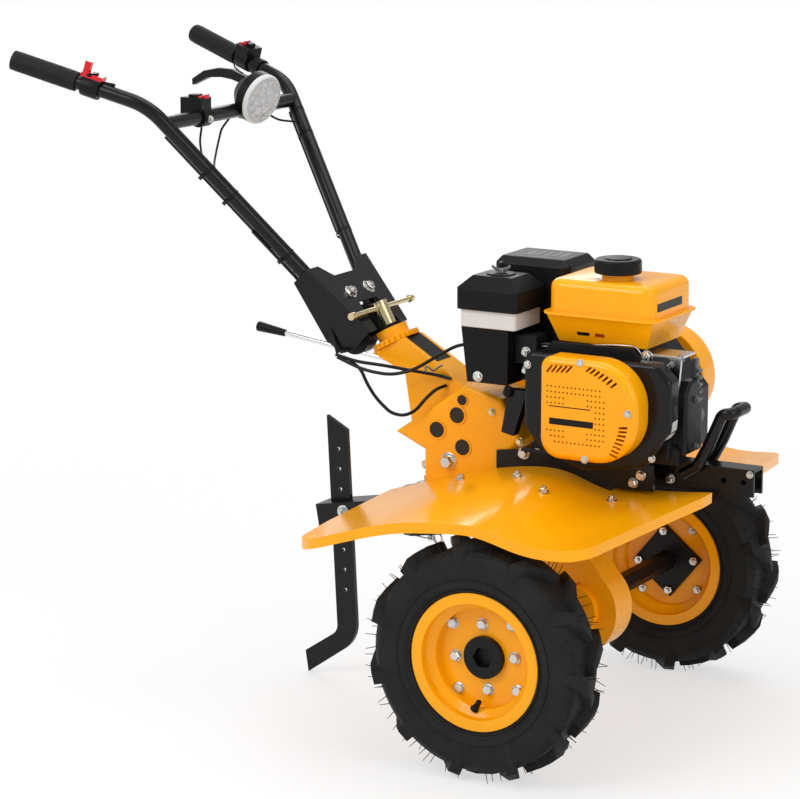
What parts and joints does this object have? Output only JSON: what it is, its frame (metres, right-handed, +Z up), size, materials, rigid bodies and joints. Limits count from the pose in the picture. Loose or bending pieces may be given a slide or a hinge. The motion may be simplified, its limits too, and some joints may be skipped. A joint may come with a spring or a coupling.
{
  "type": "rotary tiller",
  "caption": "Walk-behind petrol tiller on two lug tyres, with swivelling V handlebar, fenders, front bumper bar and rear depth stake on a drag arm.",
  "frame": {"origin": "on the ground below the centre of the overall box of the machine", "axes": "+X forward towards the bumper, +Y to the operator's left, +Z up; the machine stands on Z = 0"},
  "size_m": [1.3172, 0.822, 1.1486],
  "materials": {
    "yellow_paint": "glossy powder coat",
    "black_paint": "semi-gloss powder coat",
    "plated_steel": "zinc plated",
    "steel_rod": "bright plated",
    "cast_aluminium": "cast",
    "black_plastic": "matte",
    "red_plastic": "gloss",
    "pale_plastic": "matte",
    "grip_rubber": "matte",
    "tyre_rubber": "matte",
    "cable_cover": "satin",
    "lamp_lens": "clear ribbed"
  },
  "bodies": {
    "chassis": {"air_cleaner_band": "pale_plastic", "air_cleaner_base": "black_plastic", "air_cleaner_cover": "black_plastic", "belt_cover": "yellow_paint", "blower_housing": "black_paint", "bumper": "black_paint", "carburettor": "cast_aluminium", "clutch_cable": "cable_cover", "control_linkage": "plated_steel", "cooling_duct": "black_plastic", "crankcase": "cast_aluminium", "cylinder": "cast_aluminium", "engine_frame": "black_paint", "fender_left": "yellow_paint", "fender_right": "yellow_paint", "front_beam": "black_paint", "fuel_cap": "black_plastic", "fuel_tank": "yellow_paint", "gearbox_case": "yellow_paint", "handle_column": "yellow_paint", "hitch_bracket": "black_paint", "hitch_pin": "plated_steel", "muffler": "black_paint", "recoil_cover": "yellow_paint", "shift_cable": "cable_cover", "shift_knob": "black_plastic", "shift_lever": "steel_rod", "swivel_head": "yellow_paint", "throttle_cable": "cable_cover"},
    "wheelset": {"axle_shaft": "plated_steel", "hub_left": "black_paint", "hub_right": "black_paint", "rim_left": "yellow_paint", "rim_right": "yellow_paint", "tyre_left": "tyre_rubber", "tyre_right": "tyre_rubber"},
    "swivel": {"swivel_block": "black_paint", "clamp_nut": "plated_steel"},
    "handlebar": {"handle_plate": "black_paint", "tilt_bolt": "black_paint", "handle_tube_left": "black_paint", "handle_tube_right": "black_paint", "crossbar": "black_paint", "grip_left": "grip_rubber", "grip_right": "grip_rubber", "headlamp_shell": "black_paint", "headlamp_lens": "lamp_lens", "lamp_switch": "black_plastic", "stop_switch": "black_plastic", "throttle_lever": "red_plastic", "clutch_lever": "black_plastic", "handle_cable_left": "cable_cover", "handle_cable_right": "cable_cover", "lamp_wire": "cable_cover", "switch_wire": "cable_cover", "far_wire": "cable_cover"},
    "drawbar": {"drag_arm": "black_paint"},
    "stake": {"depth_stake": "black_paint"}
  },
  "joints": [
    {"name": "wheel_axle", "type": "hinge", "parent": "chassis", "child": "wheelset", "pos_m": [0.33363, 0, 0.205], "axis": [0, 1, 0], "continuous": true},
    {"name": "handlebar_swivel", "type": "hinge", "parent": "chassis", "child": "swivel", "pos_m": [-0.03937, 0, 0.636], "axis": [-0.4695, 0, 0.8829], "range_deg": [-30, 30], "deforming": ["clutch_cable", "throttle_cable", "shift_cable"]},
    {"name": "handlebar_tilt", "type": "hinge", "parent": "swivel", "child": "handlebar", "pos_m": [-0.11037, 0, 0.641], "axis": [0, 1, 0], "range_deg": [-20, 5], "deforming": ["clutch_cable", "throttle_cable", "shift_cable"]},
    {"name": "drawbar_swing", "type": "hinge", "parent": "chassis", "child": "drawbar", "pos_m": [0.01563, 0, 0.372], "axis": [-0.1736, 0, 0.9848], "range_deg": [-12, 12]},
    {"name": "stake_height", "type": "slide", "parent": "drawbar", "child": "stake", "axis": [-0.0523, 0, 0.9986], "range_m": [-0.1125, 0.1125]}
  ]
}
